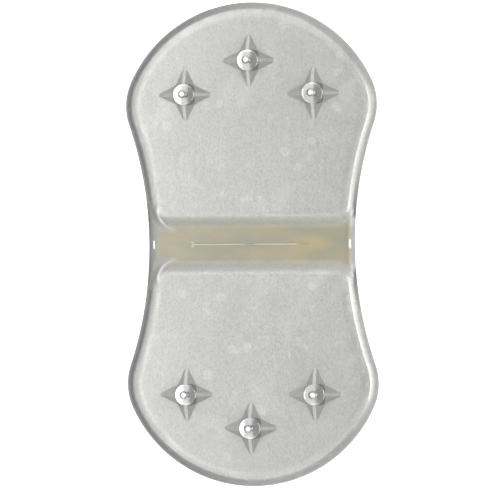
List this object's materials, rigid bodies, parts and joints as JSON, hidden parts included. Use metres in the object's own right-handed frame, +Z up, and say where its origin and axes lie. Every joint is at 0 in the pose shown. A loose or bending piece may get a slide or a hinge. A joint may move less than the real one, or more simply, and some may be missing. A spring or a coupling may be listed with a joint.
{
  "type": "snowboard stomp pad",
  "caption": "Waisted translucent grip plate for a snowboard deck, with a living hinge between its lobes, ball-tipped metal studs on star bosses and a peel-off bonded backing.",
  "frame": {"origin": "on the surface that the pad lies on, below the middle of the hinge web", "axes": "+Z up towards the boot, +Y along the pad towards the front lobe, +X across the pad"},
  "size_m": [0.0768, 0.146, 0.0112],
  "materials": {
    "moulding": "satin translucent urethane over a silvery ground",
    "web": "satin translucent urethane, slightly yellowed",
    "stud_metal": "turned and polished",
    "tape": "silver-grey closed-cell foam tape",
    "liner": "smooth coated release paper"
  },
  "bodies": {
    "rear_half": {"rear_lobe": "moulding", "hinge_web": "web", "rear_left_stud": "stud_metal", "rear_middle_stud": "stud_metal", "rear_right_stud": "stud_metal", "rear_tape": "tape"},
    "front_half": {"front_lobe": "moulding", "front_left_stud": "stud_metal", "front_middle_stud": "stud_metal", "front_right_stud": "stud_metal", "front_tape": "tape"},
    "front_sheet": {"front_liner": "liner"},
    "rear_sheet": {"rear_liner": "liner"}
  },
  "joints": [
    {"name": "fold", "type": "hinge", "parent": "rear_half", "child": "front_half", "pos_m": [0, 0, 0.00137], "axis": [1, 0, 0], "range_deg": [-45, 90], "stiffness_Nm_per_rad": 0.05, "deforming": ["hinge_web"]},
    {"name": "front_liner_peel", "type": "slide", "parent": "front_half", "child": "front_sheet", "axis": [0, 1, 0], "range_m": [0, 0.08]},
    {"name": "rear_liner_peel", "type": "slide", "parent": "rear_half", "child": "rear_sheet", "axis": [0, -1, 0], "range_m": [0, 0.08]}
  ]
}
